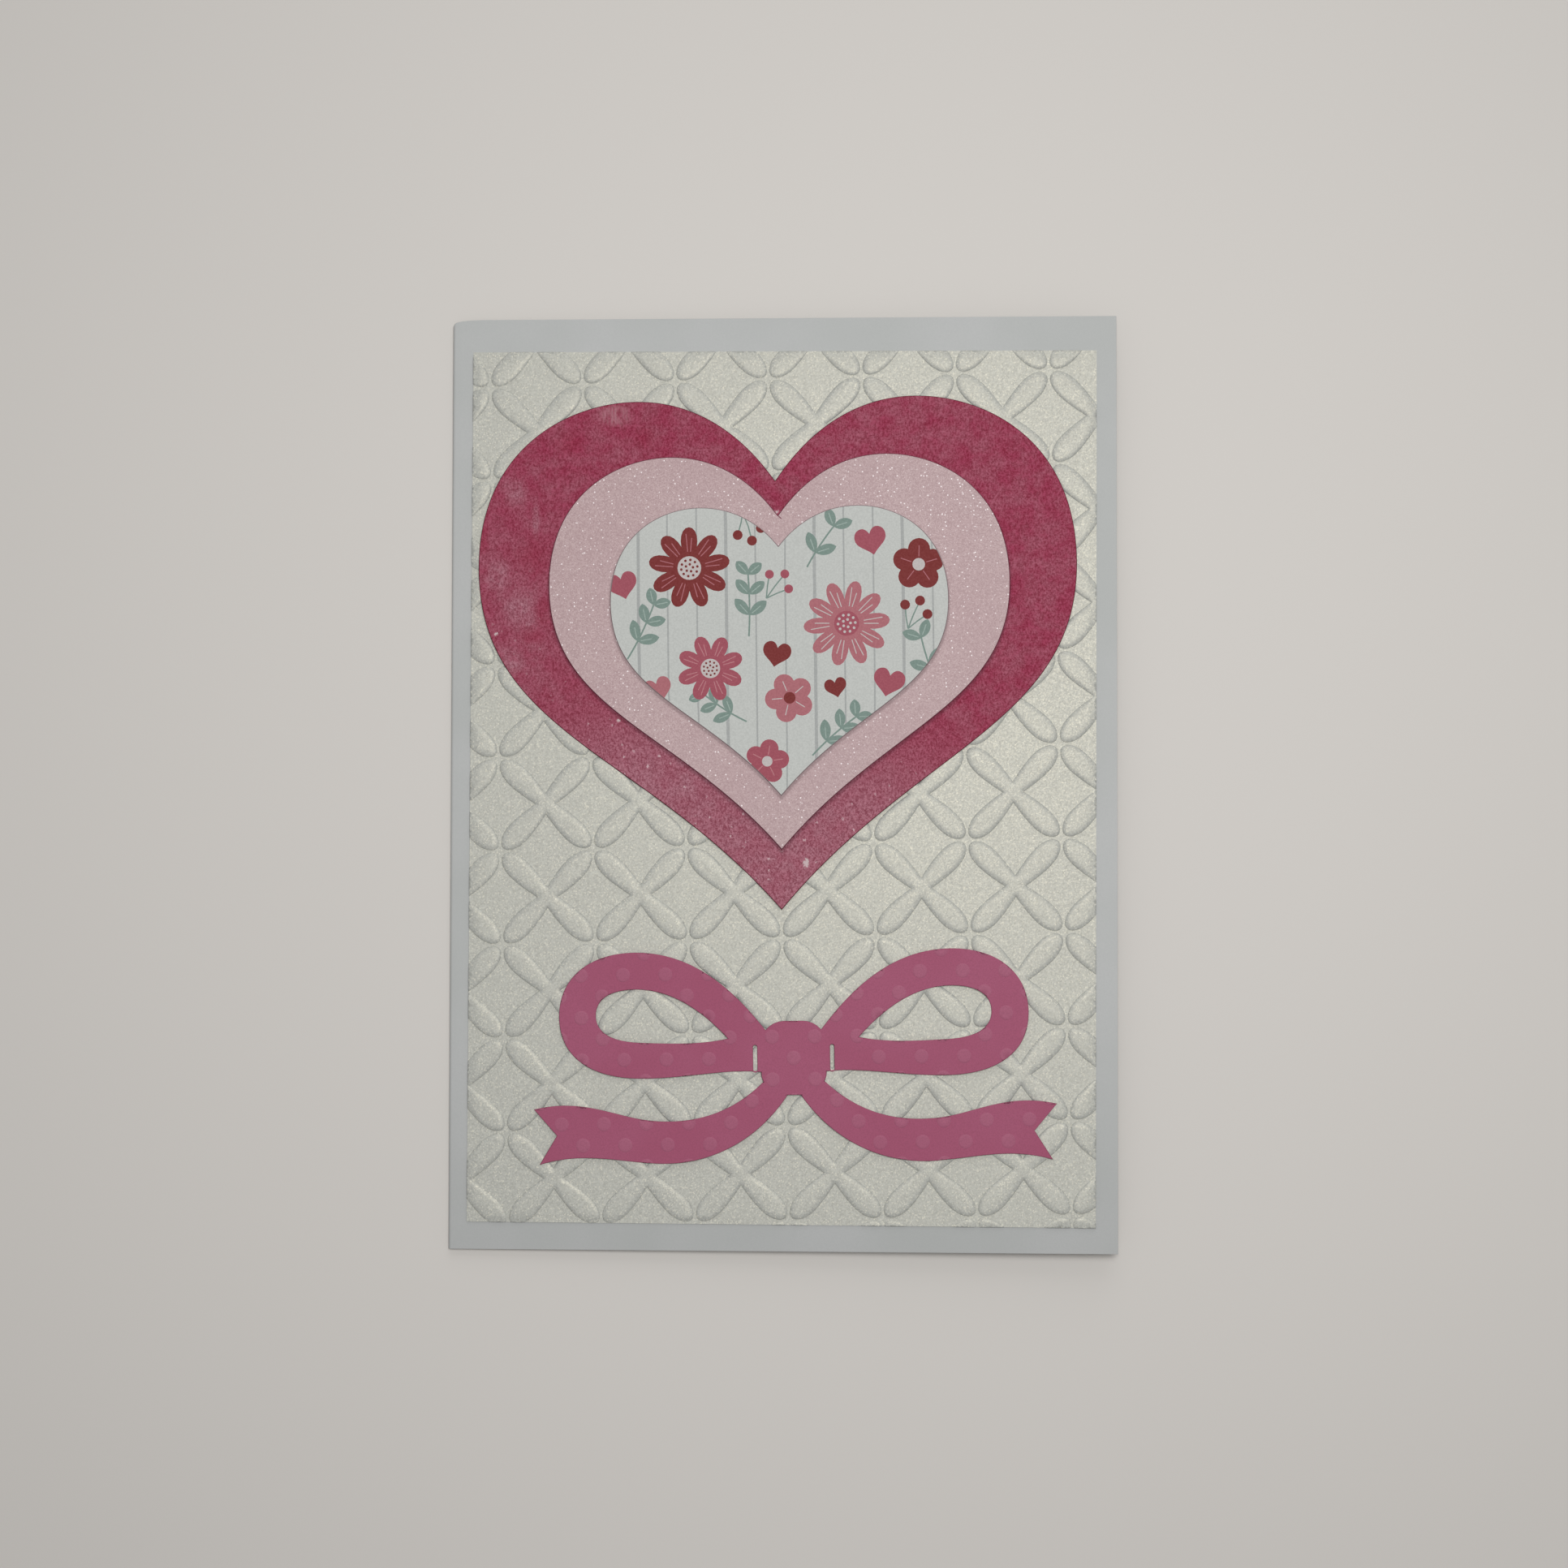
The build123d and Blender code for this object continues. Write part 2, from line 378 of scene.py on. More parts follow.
def die_cut(flat, faces, base, thickness, lift=0, paint=0, edge_paint=(1, 1)):
    """A sheet with pressed, rounded cut edges: points, faces, smooth flags and paint."""
    rim, on_rim, numbered = boundary(faces)
    (a, b), (ia, ib) = rim.T, numbered.T
    inward = np.zeros_like(flat)
    step = flat[b] - flat[a]
    step /= np.linalg.norm(step, axis=1)[:, None]
    normal = step[:, ::-1] * (-1, 1)
    np.add.at(inward, a, normal)
    np.add.at(inward, b, normal)
    size = np.linalg.norm(inward[on_rim], axis=1)[:, None]
    inward[on_rim] /= np.maximum(size, CORNER_LIMIT) ** 2 / 2
    n, m = len(flat), len(on_rim)
    top = np.column_stack((flat + inward * CUT_ROUNDING, np.full(n, base + thickness) + lift))
    shoulder = np.column_stack((flat[on_rim], np.full(m, base + thickness - CUT_ROUNDING)))
    bottom = np.column_stack((flat[on_rim], np.full(m, base)))
    round_over = np.column_stack((a, n + ia, n + ib, b))
    wall = np.column_stack((n + ia, n + m + ia, n + m + ib, n + ib))
    back = fill(flat[on_rim], numbered)[:, ::-1] + n + m
    all_faces = faces.tolist() + round_over.tolist() + wall.tolist() + back.tolist()
    smooth = [False] * len(faces) + [True] * len(rim) + [False] * (len(rim) + len(back))
    face_paint = np.full(len(faces), paint, int).tolist()
    face_paint += [edge_paint[0]] * len(rim) + [edge_paint[1]] * (len(rim) + len(back))
    return np.concatenate((top, shoulder, bottom)), all_faces, smooth, face_paint


# Materials

def srgb(*levels):
    """A colour given as three screen values from 0 to 255."""
    return (*(c / 255 / 12.92 if c <= 10 else ((c / 255 + 0.055) / 1.055) ** 2.4 for c in levels), 1.0)


def scaled(colour, factor, lift=0.0):
    """A colour made darker or lighter."""
    return (*(min(1.0, c * factor + lift) for c in colour[:3]), 1.0)


class Shader:
    """A procedural material under construction, measured in millimetres."""

    def __init__(self, name, roughness, specular):
        self.material = bpy.data.materials.new(name)
        self.material.use_nodes = True
        self.tree = self.material.node_tree
        self.surface = self.tree.nodes["Principled BSDF"]
        self.surface.inputs["Roughness"].default_value = roughness
        self.surface.inputs["Specular IOR Level"].default_value = specular
        metres = self.node("TexCoord", {}).outputs["Object"]
        scale = self.node("VectorMath", {0: metres, "Scale": 1 / MM}, operation="SCALE")
        self.place = scale.outputs["Vector"]

    def link(self, value, socket):
        """Joins an output to a socket, or sets a plain value there."""
        if isinstance(value, bpy.types.NodeSocket):
            self.tree.links.new(value, socket)
        else:
            socket.default_value = value

    def node(self, kind, inputs, **settings):
        """A new node with its settings, and a value or an output on each of the inputs given."""
        made = self.tree.nodes.new("ShaderNode" + kind)
        for name, value in settings.items():
            setattr(made, name, value)
        for socket, value in inputs.items():
            self.link(value, made.inputs[socket])
        return made

    def vector(self, operation, a, b):
        """Vector arithmetic on a with b."""
        return self.node("VectorMath", {0: a, 1: b}, operation=operation).outputs["Vector"]

    def maths(self, operation, a, b, clamp=False):
        """Arithmetic on two values, held between 0 and 1 where clamp says so."""
        return self.node("Math", {0: a, 1: b}, operation=operation, use_clamp=clamp).outputs[0]

    def times(self, a, b):
        """The product of two values."""
        return self.maths("MULTIPLY", a, b)

    def most(self, *values):
        """The greatest of several values that are 0 or more."""
        greatest = 0.0
        for value in values:
            greatest = self.maths("MAXIMUM", greatest, value)
        return greatest

    def noise(self, size, detail=3.0, stretch=(1, 1, 1), roughness=0.5):
        """Cloudy variation from 0 to 1 with features of about size millimetres."""
        place = self.vector("DIVIDE", self.place, stretch)
        inputs = {"Vector": place, "Scale": 1 / size, "Detail": detail, "Roughness": roughness}
        return self.node("TexNoise", inputs).outputs["Fac"]

    def grains(self, size, flat=True):
        """Cells of about size millimetres: a random colour and the distance to the middle, in cells."""
        inputs = {"Vector": self.place, "Scale": 1 / size}
        node = self.node("TexVoronoi", inputs, voronoi_dimensions="2D" if flat else "3D")
        return node.outputs["Color"], node.outputs["Distance"]

    def channel(self, colour, name):
        """One of the three channels of a colour."""
        return self.node("SeparateColor", {0: colour}).outputs[name]

    def span(self, value, low, high, to_low=0.0, to_high=1.0):
        """Maps low..high of a value to another range, clamped and eased."""
        inputs = dict(enumerate((value, low, high, to_low, to_high)))
        return self.node("MapRange", inputs, interpolation_type="SMOOTHSTEP").outputs[0]

    def mix(self, share, a, b):
        """Colour a where the share is 0, and colour b where it is 1."""
        return self.node("Mix", {0: share, 6: a, 7: b}, data_type="RGBA").outputs[2]

    def turned(self, vector, degrees):
        """A vector turned about the z axis."""
        inputs = {"Vector": vector, "Angle": radians(degrees)}
        return self.node("VectorRotate", inputs, rotation_type="Z_AXIS").outputs["Vector"]

    def patch(self, centre, radii, edge, softness=0.5, turn=0):
        """1 in an uneven elliptical patch on the front of the card, 0 well outside it."""
        offset = self.vector("SUBTRACT", self.place, (*centre, 0))
        share = self.vector("DIVIDE", self.turned(offset, -turn), (*radii, 1000.0))
        away = self.node("VectorMath", {0: share}, operation="LENGTH").outputs["Value"]
        ragged = self.maths("ADD", away, self.span(edge, 0.2, 0.8, -0.45, 0.45))
        return self.span(ragged, 1 + softness, 1 - softness)

    def patches(self, places, edge, softness=0.5):
        """The strongest of several patches, each given as its centre and radii."""
        return self.most(*(self.patch(centre, radii, edge, softness) for centre, radii in places))

    def shaded(self, colour, dark, strength):
        """The colour, darkened by painted shade where another sheet shades it."""
        depth = self.node("Attribute", {}, attribute_name="shade").outputs["Fac"]
        return self.mix(self.span(depth, 0.0, 1.0, 0.0, strength), colour, dark)

    def bump(self, height, depth, strength=0.6):
        """Turns a height from 0 to 1 into relief of depth millimetres."""
        inputs = {"Strength": strength, "Distance": depth * MM, "Height": height}
        self.link(self.node("Bump", inputs).outputs["Normal"], self.surface.inputs["Normal"])

    def colour(self, value):
        """Sets the colour of the surface."""
        self.link(value, self.surface.inputs["Base Color"])


# The cut edges of the sheets: the dark and the light end of each one's colour. Those of the coloured
# sheets are their card darkened with painted shade, which outlines each sheet.
CUT_EDGES = {
    "cut_white": ((186, 187, 183), (206, 207, 204)),
    "shaded_cut_raspberry": ((88, 22, 38), (112, 40, 58)),
    "shaded_cut_glitter": ((96, 50, 62), (124, 74, 86)),
    "shaded_cut_print": ((126, 110, 112), (146, 132, 134)),
}


def cut_edge(name):
    """The cut edge of a sheet; on the coloured sheets its dark is painted shade."""
    s = Shader(name, roughness=0.9, specular=0.2)
    dark, light = CUT_EDGES[name]
    s.colour(s.mix(s.noise(0.3), srgb(*dark), srgb(*light)))
    return s.material


def white_card():
    """Smooth white card stock with a faint paper grain."""
    s = Shader("white_card", roughness=0.8, specular=0.3)
    tint = s.mix(s.span(s.noise(22.0, 2), 0.3, 0.7), srgb(178, 180, 178), srgb(184, 185, 184))
    fibre = s.noise(0.35, 3)
    s.colour(s.mix(s.span(fibre, 0.3, 0.7, 0.0, 0.25), tint, srgb(172, 174, 173)))
    s.bump(fibre, 0.02)
    return s.material


def pearl_card():
    """Cool white card under a pearl coat: fine grains, pale or dull, painted glints on a few, and a soft
    warm gloss.
    """
    s = Shader("pearl_card", roughness=0.6, specular=0.7)
    s.surface.inputs["IOR"].default_value = 1.9
    s.surface.inputs["Specular Tint"].default_value = (1.0, 0.92, 0.7, 1.0)
    draw, _ = s.grains(0.22)
    cloth = s.noise(0.34, 2)
    dull = s.mix(s.span(s.noise(30.0, 2), 0.3, 0.7), srgb(152, 154, 152), srgb(155, 157, 154))
    tone = s.times(s.maths("ADD", s.channel(draw, "Green"), s.span(cloth, 0.3, 0.7)), 0.5)
    body = s.mix(tone, dull, srgb(187, 189, 184))
    # Bright flecks: painted glints of the pearl coat's grains
    s.colour(s.mix(s.span(s.channel(draw, "Blue"), 0.84, 1.0, 0.0, 0.8), body, srgb(209, 207, 195)))
    lustre = s.maths("POWER", s.channel(draw, "Red"), 2.0)
    s.link(s.maths("SUBTRACT", 0.61, s.times(lustre, 0.13)), s.surface.inputs["Roughness"])
    s.bump(cloth, 0.012)
    return s.material


# Where the raspberry card is faded or blemished, each place a centre and its radii
LOW_FADE = ((-20.0, -2.0), (30.0, 14.0))
TIP_FADE = ((2.0, -12.0), (34.0, 18.0))
SIDE_FADE = ((-49.0, 24.0), (10.0, 19.0))
PALE_CLOUDS = (((-54.3, 39.6), (2.4, 3.4)), ((-50.4, 33.0), (3.2, 3.4)), ((-48.3, 30.1), (1.5, 1.6)),
               ((-51.6, 23.3), (2.0, 2.6)), ((-51.3, 55.6), (2.2, 2.4)), ((-47.2, 50.2), (0.7, 3.4)))
DEEP_CLOUDS = (((-47.8, 43.2), (2.6, 2.8)), ((-45.8, 32.3), (1.3, 2.2)), ((-48.0, 27.9), (1.8, 1.4)),
               ((-41.0, 64.9), (2.2, 1.8)), ((-26.2, 66.0), (1.8, 1.5)), ((-57.2, 46.5), (0.9, 2.4)))
WHITE_FLECKS = (((4.55, -15.4), (0.45, 0.75)), ((-54.8, 28.3), (0.3, 0.3)), ((-31.3, 11.7), (0.3, 0.25)),
                ((-1.1, 51.5), (0.45, 0.3)))
SCUFF = ((-32.2, 70.2), (2.8, 2.0))


def raspberry_body(s, fibre, faded, cloud):
    """The colour of the raspberry card: its grain, between deep and faded clouds."""
    wisps = s.noise(1.5, 4, roughness=0.65)
    pale = s.times(s.patches(PALE_CLOUDS, wisps), s.span(wisps, 0.3, 0.65, 0.15, 0.58))
    fade = s.maths("ADD", s.span(cloud, 0.3, 0.72, 0.0, 0.4), s.times(faded, 0.62), clamp=True)
    fade = s.maths("ADD", fade, pale, clamp=True)
    dark = s.mix(fade, srgb(122, 23, 49), srgb(130, 66, 81))
    light = s.mix(fade, srgb(158, 61, 89), srgb(177, 122, 135))
    deep = s.times(s.patches(DEEP_CLOUDS, wisps, 0.8), 0.5)
    return s.mix(deep, s.mix(fibre, dark, light), s.mix(fibre, srgb(118, 12, 41), srgb(152, 44, 73)))


def raspberry_wear(s, body, fibre, threads, faded):
    """The same with small pale nicks where it is faded, a scuff and four white flecks."""
    nick, reach = s.grains(2.3)
    ragged = s.maths("ADD", reach, s.span(threads, 0.3, 0.7, 0.09, -0.09))
    chosen = s.span(s.channel(nick, "Red"), 0.6, 0.75)
    nicks = s.times(s.span(ragged, 0.1, 0.03), s.times(chosen, faded))
    nicked = s.mix(s.times(nicks, 0.7), body, srgb(204, 176, 180))
    streaks = s.noise(0.7, 3, stretch=(1, 6, 1), roughness=0.6)
    scuff = s.times(s.patch(*SCUFF, streaks, 0.3), s.span(streaks, 0.35, 0.62, 0.05, 0.55))
    scuffed = s.mix(scuff, nicked, srgb(178, 132, 140))
    flecks = s.patches(WHITE_FLECKS, fibre, 0.3)
    return s.mix(s.times(flecks, 0.8), scuffed, srgb(206, 190, 190))


def raspberry_card():
    """Raspberry card: a fine mottled grain, faded towards the tip and on the left."""
    s = Shader("raspberry_card", roughness=0.8, specular=0.25)
    grain = s.noise(0.3, 2, roughness=0.7)
    threads = s.noise(0.38, 3, stretch=(1, 1.7, 1), roughness=0.6)
    fibre = s.span(s.mix(0.5, grain, threads), 0.36, 0.64)
    cloud = s.noise(3.4, 4, roughness=0.62)
    side_fade = s.times(s.patch(*SIDE_FADE, cloud, 0.9), 0.3)
    faded = s.most(s.patch(*LOW_FADE, cloud, 0.6), s.patch(*TIP_FADE, cloud, 0.5), side_fade)
    body = raspberry_body(s, fibre, faded, cloud)
    finish = raspberry_wear(s, body, fibre, threads, faded)
    # Painted shade beside the glitter heart that lies on this card
    s.colour(s.shaded(finish, srgb(60, 16, 28), strength=0.36))
    s.bump(fibre, 0.03)
    return s.material


# Glitter grains: the size of a cell, a grain's radius as a share of it, and its colour. The faint
# grains are the glitter's own, the bright ones painted glints. The places where more of them shine,
# a painted pool of glints, and where the card has a small cut, a painted dark mark for the gap and its
# shade.
GLITTER_GRAINS_AND_GLINTS = ((0.31, 0.38, (206, 184, 184)), (0.73, 0.25, (255, 246, 246)))
GLINT_POOL = ((21.0, 51.0), (27.0, 13.0))
SLIT_SHADE_MARK = ((-0.62, 50.48), (0.5, 0.11))


def glitter_card():
    """Pale pink glitter: faint round grains close together, and brighter painted glints among them."""
    s = Shader("glitter_card", roughness=0.55, specular=0.4)
    tint = s.mix(s.span(s.noise(14.0, 2), 0.3, 0.7), srgb(185, 159, 160), srgb(189, 165, 165))
    grit, _ = s.grains(0.2)
    colour = s.mix(s.span(s.channel(grit, "Red"), 0.0, 1.0, 0.0, 0.8), tint, srgb(166, 138, 140))
    # A painted pool of glints: more bright grains shine here
    glint_pool = s.patch(*GLINT_POOL, s.noise(5.0), 0.7)
    for size, reach, light in GLITTER_GRAINS_AND_GLINTS:
        draw, distance = s.grains(size, flat=False)
        lot = s.maths("ADD", s.channel(draw, "Green"), s.times(glint_pool, 0.25))
        chosen = s.span(lot, 0.25, 0.95)
        dot = s.times(s.span(distance, reach, reach * 0.35), chosen)
        colour = s.mix(dot, colour, srgb(*light))
    # A painted dark mark where the card has a small cut: the gap and the shade in it
    slit = s.patch(*SLIT_SHADE_MARK, s.noise(0.5), 0.3, turn=-46)
    # Painted shade beside the printed heart that lies on this card
    s.colour(s.shaded(s.mix(slit, colour, srgb(118, 70, 80)), srgb(96, 70, 74), strength=0.46))
    return s.material


def print_ink(name, ink):
    """Matt paper printed in one ink, with the fine mottle of a print."""
    s = Shader(name, roughness=0.8, specular=0.3)
    mottle = s.span(s.noise(0.32, 2), 0.3, 0.7)
    s.colour(s.mix(mottle, scaled(ink, 1 - PRINT_MOTTLE), scaled(ink, 1 + PRINT_MOTTLE, 0.01)))
    return s.material


def dotted_pink(name, body, light):
    """Matt pink card with a very fine tooth."""
    s = Shader(name, roughness=0.7, specular=0.35)
    tooth = s.noise(0.25, 3)
    tint = s.mix(s.span(s.noise(16.0, 2), 0.35, 0.65), body, light)
    s.colour(s.mix(s.span(tooth, 0.35, 0.75, 0.0, 0.5), tint, scaled(body, 0.76)))
    s.bump(tooth, 0.02)
    return s.material


# Card base

def section():
    """The folded sheet's outside and inside in section, (x, z), from the back leaf's free edge on."""
    sides = []
    steps = (CARD_WIDTH - FOLD_OUTER_RADIUS) * np.array(LEAF_SHARES)
    bend = np.radians(np.linspace(-90, SPRING_ANGLE - 270, BEND_POINTS))
    along = np.array((cos(TILT), sin(TILT)))
    centre = np.array((FOLD_OUTER_RADIUS - CARD_WIDTH / 2, FOLD_OUTER_RADIUS))
    for radius in (FOLD_OUTER_RADIUS, FOLD_OUTER_RADIUS - CARD_PAPER):
        back = [centre + (d, -radius) for d in steps]
        round_fold = [centre + radius * np.array((cos(a), sin(a))) for a in bend]
        front = [round_fold[-1] + along * d for d in steps[::-1]]
        sides.append(np.array(back + round_fold + front))
    return sides


def worn(x, y):
    """The height of a point after the rounding of the worn corner at the top of the fold."""
    to_fold = x + CARD_WIDTH / 2
    beyond = np.maximum(CORNER_RADIUS - to_fold, 0)
    blunt = CORNER_RADIUS - np.sqrt(np.maximum(CORNER_RADIUS ** 2 - beyond ** 2, 0))
    lean = CORNER_LEAN * np.maximum(1 - to_fold / CORNER_REACH, 0) ** 2
    return y - (blunt + lean) * np.maximum(1 - (CARD_HEIGHT / 2 - y) / CORNER_REACH, 0)


def folded_card():
    """The card base as one folded sheet with softened cut edges and one worn corner."""
    outside, inner = section()
    ring = np.concatenate((outside, inner[::-1]))
    n = len(ring)
    rows = CARD_HEIGHT / 2 - np.array(CARD_ROWS)
    points = [(x, worn(x, y), z) for y in rows for x, z in ring]
    faces, paint = [], []
    for row in range(len(rows) - 1):
        for i in range(n):
            j = (i + 1) % n
            faces.append((row * n + i, row * n + j, row * n + n + j, row * n + n + i))
            paint.append(1 if i in (len(outside) - 1, n - 1) else 0)
    last = (len(rows) - 1) * n
    for i in range(len(outside) - 1):
        quad = (i, i + 1, n - 2 - i, n - 1 - i)
        faces += [quad[::-1], tuple(last + k for k in quad)]
        paint += [1, 1]
    mesh = bmesh.new()
    corners = [mesh.verts.new(Vector(p) * MM) for p in points]
    for face, colour in zip(faces, paint):
        mesh.faces.new([corners[i] for i in face]).material_index = colour
    bmesh.ops.recalc_face_normals(mesh, faces=mesh.faces)
    sharp = [e for e in mesh.edges if e.calc_face_angle(0) > radians(EDGES_FROM)]
    bmesh.ops.bevel(mesh, geom=sharp, offset=EDGE_ROUNDING * MM, segments=2, profile=0.5, affect="EDGES")
    data = bpy.data.meshes.new("folded_card")
    mesh.to_mesh(data)
    mesh.free()
    for material in (white_card(), cut_edge("cut_white")):
        data.materials.append(material)
    data.polygons.foreach_set("use_smooth", [True] * len(data.polygons))
    data.set_sharp_from_angle(angle=radians(SMOOTH_UP_TO))
    piece = new_object("folded_card", data)
    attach(piece, "root")
    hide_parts("card_base")


# Embossed panel

def flower_outline():
    """The foot of a raised four-petal flower round the origin, as one closed ring."""
    fork = PETAL_FORK_AT / sqrt(2)
    half = PETAL_WIDTH / 2
    hold = (PETAL_WIDEST_AT - fork) / 3
    flank = bezier((fork, fork), (fork + hold, fork + PETAL_SPREAD), (PETAL_WIDEST_AT - hold, half),
                   (PETAL_WIDEST_AT, half), 8)
    a = np.radians(np.arange(90, 0, -7.5))
    end = np.stack((PETAL_WIDEST_AT + (PETAL_LENGTH - PETAL_WIDEST_AT) * np.cos(a), half * np.sin(a)), 1)
    upper = np.concatenate((flank, end))
    petal = np.concatenate((upper[1:] * (1, -1), [(PETAL_LENGTH, 0)], upper[::-1]))
    return four_times(petal, 45)


def inset(ring, amount):
    """The ring moved inwards, with its inward corners rounded and its crossings dropped."""
    if amount == 0:
        return ring
    before, after = ring - np.roll(ring, 1, axis=0), np.roll(ring, -1, axis=0) - ring
    points = []
    for p, a, b in zip(ring, before, after):
        angles = [np.arctan2(v[0], -v[1]) for v in (a, b)]
        sweep = (angles[1] - angles[0] + pi) % (2 * pi) - pi
        count = 1 if sweep > -ARC_FROM else 2 + ceil(-sweep * amount / ARC_STEP)
        shares = [0.5] if count == 1 else np.linspace(0, 1, count)
        for share in shares:
            angle = angles[0] + sweep * share
            points.append(p + amount * np.array((cos(angle), sin(angle))))
    points = np.array(points)
    return points[distance_to_ring(points, ring) > amount - INSET_SLACK]


def relief_height(depth):
    """The height of the relief at a distance inwards from the foot of a petal."""
    flank = np.sqrt(1 - (1 - np.minimum(depth / FLANK, 1)) ** 2)
    crown = np.minimum(depth / (PETAL_WIDTH / 2), 1)
    return RELIEF * ((1 - CROWN_SHARE) * flank + CROWN_SHARE * crown)


def cell_mesh(distances, thin):
    """One square of the lattice: flat points, heights, triangles, and which of them slope."""
    foot = flower_outline()[::thin]
    rings = [inset(foot, distance) for distance in distances]
    crown = [(t, 0) for t in np.arange(PETAL_FORK_AT, PETAL_LENGTH - PETAL_WIDTH / 3, CROWN_STEP)]
    crowns = [(0, 0), *four_times(crown, 45)]
    half = LATTICE_PITCH / 2
    steps = np.linspace(-half, half, CELL_SIDE_STEPS + 1)[:-1]
    edge = np.stack((steps, np.full(CELL_SIDE_STEPS, -half)), 1)
    flat, faces = triangulate(rings + [four_times(edge)], crowns)
    to_foot = distance_to_ring(flat, foot)
    height = np.where(inside(flat, foot) & (to_foot > 1e-4), relief_height(to_foot), 0)
    return flat, height, faces, inside(centres(flat, faces), foot)


def lattice_mesh():
    """The whole relief before it is cut to the panel's size."""
    fine = cell_mesh(RELIEF_RINGS, 1)
    coarse = cell_mesh(HIDDEN_RINGS, 2)
    cover = heart_ring(OUTER_HEART)
    middle = np.array((FLOWER_COLUMNS - 1, FLOWER_ROWS - 1)) / 2
    points, heights, faces, slopes, first = [], [], [], [], 0
    for row, column in np.ndindex(FLOWER_ROWS, FLOWER_COLUMNS):
        centre = (np.array((column, row)) - middle) * LATTICE_PITCH
        round_cell = circle(centre, LATTICE_PITCH * ROUND_CELL, 12)
        hidden = inside(placed(round_cell, LATTICE_CENTRE, LATTICE_TURN), cover).all()
        flat, height, triangles, sloping = coarse if hidden else fine
        points.append(placed(flat + centre, LATTICE_CENTRE, LATTICE_TURN))
        heights.append(height)
        faces.append(triangles + first)
        slopes.append(sloping)
        first += len(flat)
    points, heights = np.concatenate(points), np.concatenate(heights)
    faces, slopes = np.concatenate(faces), np.concatenate(slopes)
    _, kept, numbered = np.unique(np.round(points, 3), axis=0, return_index=True, return_inverse=True)
    faces = numbered.reshape(-1)[faces]
    return points[kept], heights[kept], faces, slopes


def cut_along(points, faces, slopes, middle, normal):
    """Cuts away what lies beyond a line, and splits the triangles that cross it."""
    side = (points[:, :2] - middle) @ normal
    side[abs(side) < 1e-4] = 0
    new_points, made, new_faces, new_slopes = list(points), {}, [], []
    for face, slope in zip(faces.tolist(), slopes.tolist()):
        if all(side[i] <= 0 for i in face):
            new_faces.append(face)
            new_slopes.append(slope)
            continue
        kept = []
        for i, j in zip(face, face[1:] + face[:1]):
            if side[i] <= 0:
                kept.append(i)
            if side[i] * side[j] < 0:
                low, high = sorted((i, j))
                if (low, high) not in made:
                    t = side[low] / (side[low] - side[high])
                    made[low, high] = len(new_points)
                    new_points.append(points[low] * (1 - t) + points[high] * t)
                kept.append(made[low, high])
        for k in range(1, len(kept) - 1):
            new_faces.append([kept[0], kept[k], kept[k + 1]])
            new_slopes.append(slope)
    return np.array(new_points), np.array(new_faces), np.array(new_slopes)


def embossed_panel():
    """The embossed sheet, with a plain back where it is glued down."""
    flat, height, faces, slopes = lattice_mesh()
    points = np.column_stack((flat, height))
    for side, reach in enumerate((PANEL_WIDTH, PANEL_HEIGHT) * 2):
        normal = placed([(1, 0)], (0, 0), PANEL_TURN + 90 * side)[0]
        points, faces, slopes = cut_along(points, faces, slopes, PANEL_CENTRE + normal * reach / 2, normal)
    points, faces = used_only(points, faces)
    to_rim = distance_to_ring(points[:, :2], placed(PANEL_CORNERS, PANEL_CENTRE, PANEL_TURN))
    points[:, 2] *= RIM_RELIEF + (1 - RIM_RELIEF) * np.clip(to_rim / RIM_REACH, 0, 1)
    points[:, 2] += PANEL_PAPER
    rim, on_rim, numbered = boundary(faces)
    (a, b), (ia, ib) = rim.T, numbered.T
    foot = points[on_rim] * (1, 1, 0)
    n = len(points)
    wall = np.column_stack((a, n + ia, n + ib, b))
    back = fill(foot[:, :2], numbered)[:, ::-1] + n
    all_faces = faces.tolist() + wall.tolist() + back.tolist()
    smooth = slopes.tolist() + [False] * (len(wall) + len(back))
    paint = [0] * len(faces) + [1] * len(wall) + [0] * len(back)
    add_piece("embossed_sheet", "pearl_card", "embossed_panel", [pearl_card(), cut_edge("cut_white")],
              np.concatenate((points, foot)), all_faces, smooth, paint)


# Hearts

def outer_heart():
    """The raspberry heart, with rows of points where the next heart shades it."""
    cover = heart_ring(MIDDLE_HEART)
    flat, faces = sheet(heart_ring(OUTER_HEART), loose=beside(cover, SHADE_STEPS))
    cut = die_cut(flat, faces, PANEL_TOP, OUTER_HEART_PAPER)
    add_piece("raspberry_heart", "raspberry_card", "outer_heart",
              [raspberry_card(), cut_edge("shaded_cut_raspberry")], *cut, shade_from(cover, flat))


def middle_heart():
    """The glitter heart: its coat is a crust of small facets."""
    ring, cover = heart_ring(MIDDLE_HEART), heart_ring(INNER_HEART)
    draw = random.Random(7)
    low, high = ring.min(0), ring.max(0)
    columns = np.arange(low[0], high[0], GLITTER_GRAIN)
    rows = np.arange(low[1], high[1], GLITTER_GRAIN)
    grid = np.array([(x, y) for x in columns for y in rows])
    stray = [[draw.uniform(-GLITTER_STRAY, GLITTER_STRAY) for _ in spot] for spot in grid]
    spots = grid + np.array(stray) * GLITTER_GRAIN
    covered = inside(spots, cover) & (distance_to_ring(spots, cover) > GLITTER_UNDER_PRINT)
    free = inside(spots, ring) & (distance_to_ring(spots, ring) > GLITTER_TO_EDGE) & ~covered
    flat, faces = sheet(ring, loose=spots[free])
    lift = np.array([draw.uniform(-1, 1) for _ in flat]) * GLITTER_LIFT
    lift[distance_to_ring(flat, ring) < FLAT_AT_EDGE] = 0
    under_print = inside(flat, cover) | (distance_to_ring(flat, cover) < FLAT_BESIDE_PRINT)
    lift[under_print] = -GLITTER_LIFT
    cut = die_cut(flat, faces, OUTER_TOP, MIDDLE_HEART_PAPER, lift)
    add_piece("glitter_heart", "glitter_card", "middle_heart",
              [glitter_card(), cut_edge("shaded_cut_glitter")], *cut, shade_from(cover, flat))


# Print on the inner heart: plain motifs, painted one over the other

